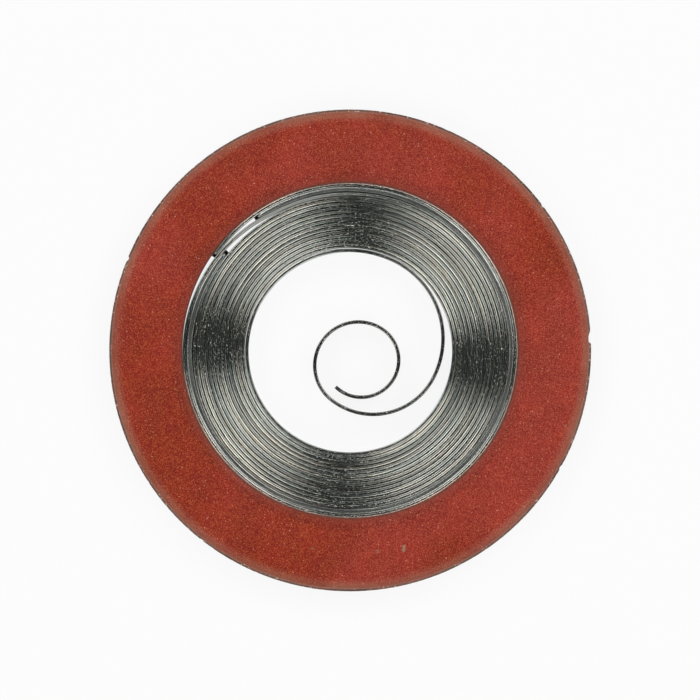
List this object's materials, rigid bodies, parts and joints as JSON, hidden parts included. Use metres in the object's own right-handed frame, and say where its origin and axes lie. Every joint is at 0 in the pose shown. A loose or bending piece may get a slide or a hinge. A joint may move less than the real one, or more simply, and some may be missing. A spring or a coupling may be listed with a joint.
{
  "type": "watch mainspring",
  "caption": "Flat spiral watch mainspring with an eyed inner curl and a slipping outer bridle, held wound in a steel washer that is painted red on top.",
  "frame": {"origin": "on the axis of the washer's bore, in the plane of the bottom faces", "axes": "+Z up to the painted face; the blade winds outwards counter-clockwise seen from +Z; +X to the right and +Y up in the picture"},
  "size_m": [0.015, 0.015, 0.0013],
  "materials": {
    "ring_steel": "stamped, bare at the edges",
    "red_enamel": "satin brick-red paint with a fine grain",
    "blade_alloy": "polished blade, ground edges",
    "bridle_alloy": "satin",
    "weld_metal": "as welded"
  },
  "bodies": {
    "spring": {"mainspring_blade": "blade_alloy", "slipping_bridle": "bridle_alloy", "spot_welds": "weld_metal"},
    "ring": {"retaining_ring": "ring_steel", "ring_enamel": "red_enamel"}
  },
  "joints": [
    {"name": "ring_lift_off", "type": "slide", "parent": "spring", "child": "ring", "axis": [0, 0, 1], "range_m": [0, 0.0014]}
  ]
}
